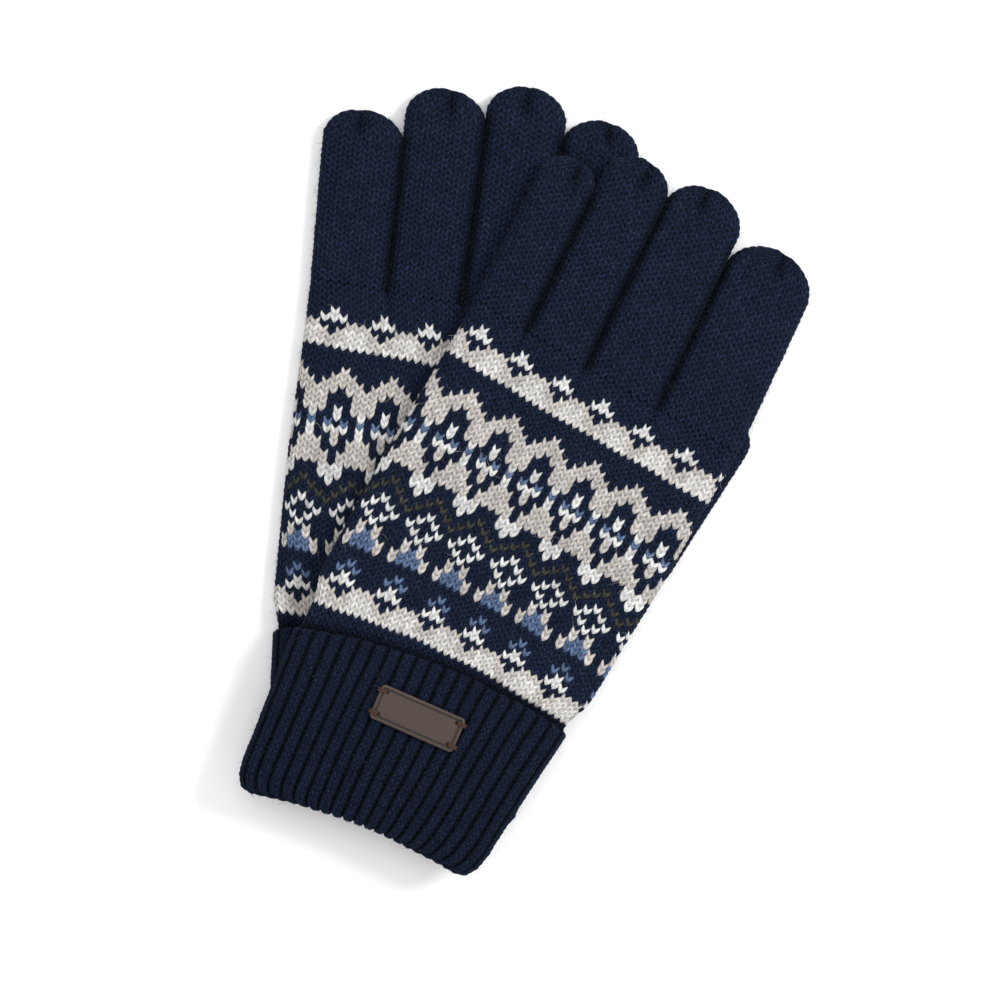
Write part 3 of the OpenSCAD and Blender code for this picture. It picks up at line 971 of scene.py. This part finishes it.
def cuff_piece(side, glove, layer, material):
    profile = turned_profile(glove) if layer == "turned" else inner_profile(glove)
    path = profile_path(profile)
    columns = rib_columns(RIBS, RIB_DEEP[layer])
    data = knit_mesh(f"{side}_{layer}_cuff_knit", glove, cuff_surface(glove, path), columns,
                     path_rows(path), ROW * 0.95, navy, -1 if layer == "turned" else 1)
    if layer == "turned":
        add_fuzz(data, *CUFF_FUZZ)
    piece = knit_piece(data, material, f"{side}_{layer}_cuff")
    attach(piece, f"{side}_cuff" if layer == "turned" else f"{side}_glove")
    return piece


def left_thumb_piece(material):
    surface, rows = closed_thumb_surface(**LEFT_THUMB, width=THUMB_W, z_mid=GAP + HAND_T / 2)
    data = knit_mesh("left_thumb_knit", LEFT, surface, plain_columns(20), skin_rows(rows), 1.0, navy)
    piece = knit_piece(add_fuzz(data, *THUMB_FUZZ), material, "left_thumb")
    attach(piece, "left_thumb_body")
    return piece


def right_thumb_piece(material):
    root_y = RIGHT_THUMB["root_y"]
    x_inner = float(hand_middle(RIGHT, root_y) + hand_half(RIGHT, root_y)) + GAP
    surface, rows = open_thumb_surface(x_inner, **RIGHT_THUMB, width=THUMB_W, z_mid=HAND_T / 2)
    data = knit_mesh("right_thumb_knit", RIGHT, surface, plain_columns(20), skin_rows(rows), 1.0, navy)
    piece = knit_piece(add_fuzz(data, *THUMB_FUZZ), material, "right_thumb")
    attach(piece, "right_thumb_body")
    return piece


# ---------------------------------------------------------------------------
# The label and its thread
# ---------------------------------------------------------------------------
LEATHER = (0.050, 0.032, 0.026)
THREAD = (0.058, 0.018, 0.010)
# Distance of the stitching holes from the label's ends and sides
HOLES_IN = (2.6, 2.4)


def on_label(points):
    """Points laid out on the label, as points of the left glove's own frame."""
    c, s = math.cos(LABEL_TURN), math.sin(LABEL_TURN)
    out = np.array(points, float)
    x, y = out[..., 0].copy(), out[..., 1].copy()
    out[..., 0] = LABEL_AT[0] + x * c - y * s
    out[..., 1] = LABEL_AT[1] + x * s + y * c
    out[..., 2] += label_low[2] / MM
    return out


def label_piece():
    """A leather plate with rounded corners, a pressed border and four stitching holes."""
    length, width, thick = LABEL
    corner, cell = 1.6, 0.22
    xs = np.linspace(-length / 2, length / 2, round(length / cell) + 1)
    ys = np.linspace(-width / 2, width / 2, round(width / cell) + 1)
    x, y = np.meshgrid(xs, ys, indexing="ij")
    cx = np.sign(x) * np.maximum(np.abs(x) - (length / 2 - corner), 0)
    cy = np.sign(y) * np.maximum(np.abs(y) - (width / 2 - corner), 0)
    reach = np.hypot(cx, cy)
    square = np.maximum(np.abs(cx), np.abs(cy))
    pull = np.where(reach > 1e-9, square / np.maximum(reach, 1e-9), 1.0)
    x, y = x - cx * (1 - pull), y - cy * (1 - pull)
    edge = np.minimum(length / 2 - np.abs(x), width / 2 - np.abs(y))
    edge = np.where((np.abs(cx) > 0) & (np.abs(cy) > 0), corner - square, edge)
    rounding = 0.45 * (1 - np.clip(edge / 0.7, 0, 1)) ** 2
    border = np.exp(-((edge - 1.4) / 0.4) ** 2)
    hole_x, hole_y = length / 2 - HOLES_IN[0], width / 2 - HOLES_IN[1]
    hole = 1 - smooth((np.hypot(np.abs(x) - hole_x, np.abs(y) - hole_y) - 0.35) / 0.45)
    r = np.random.default_rng(SEED + 77)
    grain = r.normal(0, 0.02, x.shape)
    top = thick - rounding - 0.22 * border - 1.25 * hole + grain * (edge > 0.8)
    n, m = x.shape
    upper = np.stack([x, y, top], -1).reshape(-1, 3)
    lower = np.stack([x, y, 0 * top], -1).reshape(-1, 3)
    i, j = np.meshgrid(np.arange(n - 1), np.arange(m - 1), indexing="ij")
    a, b, c, d = i * m + j, (i + 1) * m + j, (i + 1) * m + j + 1, i * m + j + 1
    faces = np.stack([a, b, c, d], -1).reshape(-1, 4)
    loop = np.concatenate([np.arange(n) * m, (n - 1) * m + np.arange(1, m),
                           np.arange(n - 2, -1, -1) * m + m - 1, np.arange(m - 2, 0, -1)])
    nxt = np.roll(loop, -1)
    wall = np.stack([loop + n * m, nxt + n * m, nxt, loop], -1)
    all_faces = np.concatenate([faces, faces[:, ::-1] + n * m, wall])
    points = in_row(LEFT, on_label(np.concatenate([upper, lower])))
    piece = add_mesh("leather_label_plate", points, all_faces, leather("label_leather"))
    # Darker along the pressed border, painted shade in the stitching holes, and a painted highlight where
    # edge < 0.5, which is made lighter; the underside and sides are darker too
    press_and_painted_light = np.clip(0.85 * border + 0.9 * hole - 0.35 * (edge < 0.5), -0.35, 0.9)
    face_press_and_painted_light = press_and_painted_light.ravel()[faces].mean(1)
    shade = np.concatenate([1 - face_press_and_painted_light, np.full(len(faces), 0.6), np.full(len(wall), 0.62)])
    paint_faces(piece, "leather_colour_and_painted_light", shade[:, None] * np.array(LEATHER))
    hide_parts("leather_label")
    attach(piece, "left_cuff")
    return piece


def smooth_line(points, count):
    """A Catmull-Rom curve through the points."""
    p = np.array(points, float)
    p = np.concatenate([[2 * p[0] - p[1]], p, [2 * p[-1] - p[-2]]])
    out = []
    for k in range(1, len(p) - 2):
        for t in np.arange(count) / count:
            out.append(0.5 * (2 * p[k] + (p[k + 1] - p[k - 1]) * t
                              + (2 * p[k - 1] - 5 * p[k] + 4 * p[k + 1] - p[k + 2]) * t ** 2
                              + (3 * p[k] - p[k - 1] - 3 * p[k + 1] + p[k + 2]) * t ** 3))
    out.append(p[-2])
    return np.array(out)


def twisted_thread(line, radius, turns, sides=8):
    """Two plies wound round a line, as closed tubes; gives points and faces."""
    along = np.gradient(line, axis=0)
    along /= np.linalg.norm(along, axis=1, keepdims=True)
    side = np.cross(along, [0, 1, 0.02])
    side /= np.linalg.norm(side, axis=1, keepdims=True)
    up = np.cross(side, along)
    share = np.linspace(0, 1, len(line))
    taper = np.sqrt(np.clip(np.minimum(share, 1 - share) * 12, 0.02, 1))
    points, faces = [], []
    for ply in range(2):
        angle = 2 * math.pi * turns * share + ply * math.pi
        core = line + radius * 0.5 * (np.cos(angle)[:, None] * side + np.sin(angle)[:, None] * up)
        for k in range(len(line)):
            start = len(points)
            for g in range(sides):
                a = 2 * math.pi * g / sides
                out = math.cos(a) * side[k] + math.sin(a) * up[k]
                points.append(core[k] + radius * 0.56 * taper[k] * out)
            if k:
                before = start - sides
                faces += [[before + g, before + (g + 1) % sides, start + (g + 1) % sides, start + g]
                          for g in range(sides)]
    return points, faces


def tack_pieces():
    """The thread through each stitching hole and over the label's end."""
    length, width, thick = LABEL
    radius = 0.42
    top = thick + radius + 0.05
    points, faces = [], []
    for end in (-1, 1):
        for up in (-1, 1):
            x = length / 2 - HOLES_IN[0]
            y = up * (width / 2 - HOLES_IN[1])
            route = [(x, 0.3), (x + 0.05, thick - 0.2), (x + 0.7, top), (x + 1.9, top),
                     (length / 2 + 0.45, top - 0.35), (length / 2 + 0.75, thick * 0.4),
                     (length / 2 + 0.8, 0.1)]
            for strand in (-0.3, 0.3):
                line = [(end * a, y + strand * (1 + 0.4 * k / 6), z) for k, (a, z) in enumerate(route)]
                p, f = twisted_thread(smooth_line(line, 6), radius * 0.8, 3.5)
                faces += (np.array(f) + len(points)).tolist()
                points += p
    placed = in_row(LEFT, on_label(np.array(points)))
    piece = add_mesh("label_tack_thread", placed, faces, thread_material("tack_thread", THREAD))
    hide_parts("label_tacks")
    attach(piece, "left_cuff")
    return piece


# ---------------------------------------------------------------------------
# Floor, light and camera
# ---------------------------------------------------------------------------
VIEW_TURN = math.radians(-27.3)
VIEW_CENTRE = (22.09, -4.12)
VIEW_SPAN = 368.5
VIEW_HEIGHT = 1500


def floor():
    half = 3.0
    count = 12
    line = np.linspace(-half, half, count + 1)
    x, y = np.meshgrid(line, line, indexing="ij")
    points = np.stack([x, y, 0 * x], -1).reshape(-1, 3)
    i, j = np.meshgrid(np.arange(count), np.arange(count), indexing="ij")
    m = count + 1
    faces = np.stack([i * m + j, (i + 1) * m + j, (i + 1) * m + j + 1, i * m + j + 1], -1).reshape(-1, 4)
    add_mesh("backdrop", points, faces, backdrop_material("backdrop_paper"))


def soft_light(name, place, size, power):
    lamp = bpy.data.lights.new(name, "AREA")
    lamp.shape = "DISK"
    lamp.size = size
    lamp.energy = power
    made = bpy.data.objects.new(name, lamp)
    made.location = place
    made.rotation_euler = (-Vector(place)).to_track_quat("-Z", "Y").to_euler()
    bpy.context.scene.collection.objects.link(made)


def studio():
    world = bpy.data.worlds.new("studio")
    world.use_nodes = True
    sky = world.node_tree.nodes["Background"]
    sky.inputs["Color"].default_value = (1, 1, 1, 1)
    sky.inputs["Strength"].default_value = 0.85
    bpy.context.scene.world = world
    soft_light("key", (1.0, 1.1, 1.5), 0.7, 26)
    soft_light("overhead", (-0.2, 0.2, 2.0), 1.2, 10)
    bpy.context.scene.view_settings.view_transform = "Standard"


def camera():
    lens = bpy.data.cameras.new("camera")
    lens.sensor_width = 36
    lens.lens = 36 * VIEW_HEIGHT / VIEW_SPAN
    lens.clip_end = 20
    made = bpy.data.objects.new("camera", lens)
    made.location = (VIEW_CENTRE[0] * MM, VIEW_CENTRE[1] * MM, VIEW_HEIGHT * MM)
    made.rotation_euler = (0, 0, -VIEW_TURN)
    bpy.context.scene.collection.objects.link(made)
    bpy.context.scene.camera = made


camera()
floor()
studio()
patterned = wool("patterned_wool", 0.03)
plain = wool("navy_wool", 0.03)
ribbed = wool("navy_rib_wool", 0.03)
for side, glove in (("right", RIGHT), ("left", LEFT)):
    hand_piece(side, glove, patterned)
    cuff_piece(side, glove, "turned", ribbed)
    cuff_piece(side, glove, "inner", ribbed)
    for i in range(len(FINGERS)):
        finger_piece(side, glove, i, plain)
left_thumb_piece(plain)
right_thumb_piece(plain)
label_piece()
tack_pieces()
